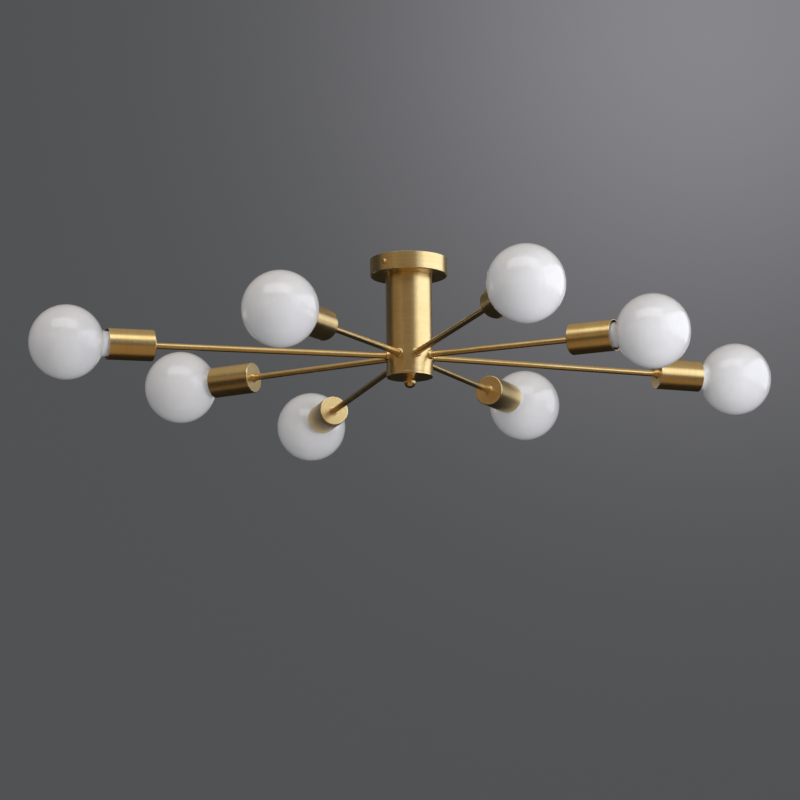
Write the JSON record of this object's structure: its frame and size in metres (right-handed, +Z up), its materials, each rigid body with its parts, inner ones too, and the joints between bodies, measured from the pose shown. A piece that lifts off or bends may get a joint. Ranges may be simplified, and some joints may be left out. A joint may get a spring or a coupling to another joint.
{
  "type": "sputnik chandelier",
  "caption": "Flush ceiling light with alternating long and short straight brass arms radiating from a short stem, each with a cylindrical cup and an outward opal globe lamp.",
  "frame": {"origin": "centre of the ceiling face: the plane of the bracket's top and the canopy's rim, on the stem's axis", "axes": "+Z up, towards the ceiling, with the light hanging below; the long arms lie along X and Y and the short arms between them"},
  "size_m": [1, 1, 0.1819],
  "materials": {
    "satin_brass": "satin",
    "opal_glass": "opal",
    "lamp_cap_metal": "satin",
    "black_phenolic": "matt",
    "contact_brass": "bright",
    "zinc_steel": "zinc plated",
    "wire_pvc": "matt",
    "terminal_plastic": "matt"
  },
  "bodies": {
    "light_frame": {"canopy": "satin_brass", "stem_tube": "satin_brass", "bottom_cap": "satin_brass", "hub_collars": "satin_brass", "cup_collars": "satin_brass", "ceiling_bracket": "zinc_steel", "rod_nut_set": "zinc_steel", "tie_rod": "zinc_steel", "stem_plug": "zinc_steel", "hub_nuts": "zinc_steel", "earth_screw": "contact_brass", "holder_shells": "contact_brass", "holder_contacts": "contact_brass", "terminal_block": "terminal_plastic", "splice_sleeves": "terminal_plastic", "arm_wires": "wire_pvc", "feed_wires": "wire_pvc", "arm_tube_1": "satin_brass", "socket_cup_1": "satin_brass", "lamp_holder_1": "black_phenolic", "arm_tube_2": "satin_brass", "socket_cup_2": "satin_brass", "lamp_holder_2": "black_phenolic", "arm_tube_3": "satin_brass", "socket_cup_3": "satin_brass", "lamp_holder_3": "black_phenolic", "arm_tube_4": "satin_brass", "socket_cup_4": "satin_brass", "lamp_holder_4": "black_phenolic", "arm_tube_5": "satin_brass", "socket_cup_5": "satin_brass", "lamp_holder_5": "black_phenolic", "arm_tube_6": "satin_brass", "socket_cup_6": "satin_brass", "lamp_holder_6": "black_phenolic", "arm_tube_7": "satin_brass", "socket_cup_7": "satin_brass", "lamp_holder_7": "black_phenolic", "arm_tube_8": "satin_brass", "socket_cup_8": "satin_brass", "lamp_holder_8": "black_phenolic"},
    "bulb_1": {"bulb_globe_1": "opal_glass", "bulb_cap_1": "lamp_cap_metal"},
    "bulb_2": {"bulb_globe_2": "opal_glass", "bulb_cap_2": "lamp_cap_metal"},
    "bulb_3": {"bulb_globe_3": "opal_glass", "bulb_cap_3": "lamp_cap_metal"},
    "bulb_4": {"bulb_globe_4": "opal_glass", "bulb_cap_4": "lamp_cap_metal"},
    "bulb_5": {"bulb_globe_5": "opal_glass", "bulb_cap_5": "lamp_cap_metal"},
    "bulb_6": {"bulb_globe_6": "opal_glass", "bulb_cap_6": "lamp_cap_metal"},
    "bulb_7": {"bulb_globe_7": "opal_glass", "bulb_cap_7": "lamp_cap_metal"},
    "bulb_8": {"bulb_globe_8": "opal_glass", "bulb_cap_8": "lamp_cap_metal"},
    "side_screw_1": {"canopy_screw_1": "satin_brass"},
    "side_screw_2": {"canopy_screw_2": "satin_brass"},
    "ball_nut": {"finial": "satin_brass"}
  },
  "joints": [
    {"name": "bulb_1_unscrew", "type": "slide", "parent": "light_frame", "child": "bulb_1", "axis": [0.9999, 0, -0.0131], "range_m": [0, 0.04]},
    {"name": "bulb_2_unscrew", "type": "slide", "parent": "light_frame", "child": "bulb_2", "axis": [0.707, 0.707, -0.0131], "range_m": [0, 0.04]},
    {"name": "bulb_3_unscrew", "type": "slide", "parent": "light_frame", "child": "bulb_3", "axis": [0, 0.9999, -0.0131], "range_m": [0, 0.04]},
    {"name": "bulb_4_unscrew", "type": "slide", "parent": "light_frame", "child": "bulb_4", "axis": [-0.707, 0.707, -0.0131], "range_m": [0, 0.04]},
    {"name": "bulb_5_unscrew", "type": "slide", "parent": "light_frame", "child": "bulb_5", "axis": [-0.9999, 0, -0.0131], "range_m": [0, 0.04]},
    {"name": "bulb_6_unscrew", "type": "slide", "parent": "light_frame", "child": "bulb_6", "axis": [-0.707, -0.707, -0.0131], "range_m": [0, 0.04]},
    {"name": "bulb_7_unscrew", "type": "slide", "parent": "light_frame", "child": "bulb_7", "axis": [0, -0.9999, -0.0131], "range_m": [0, 0.04]},
    {"name": "bulb_8_unscrew", "type": "slide", "parent": "light_frame", "child": "bulb_8", "axis": [0.707, -0.707, -0.0131], "range_m": [0, 0.04]},
    {"name": "canopy_screw_1_unscrew", "type": "slide", "parent": "light_frame", "child": "side_screw_1", "axis": [0.8358, 0.549, 0], "range_m": [0, 0.006]},
    {"name": "canopy_screw_2_unscrew", "type": "slide", "parent": "light_frame", "child": "side_screw_2", "axis": [-0.8358, -0.549, 0], "range_m": [0, 0.006]},
    {"name": "finial_unscrew", "type": "slide", "parent": "light_frame", "child": "ball_nut", "axis": [0, 0, -1], "range_m": [0, 0.012]}
  ]
}
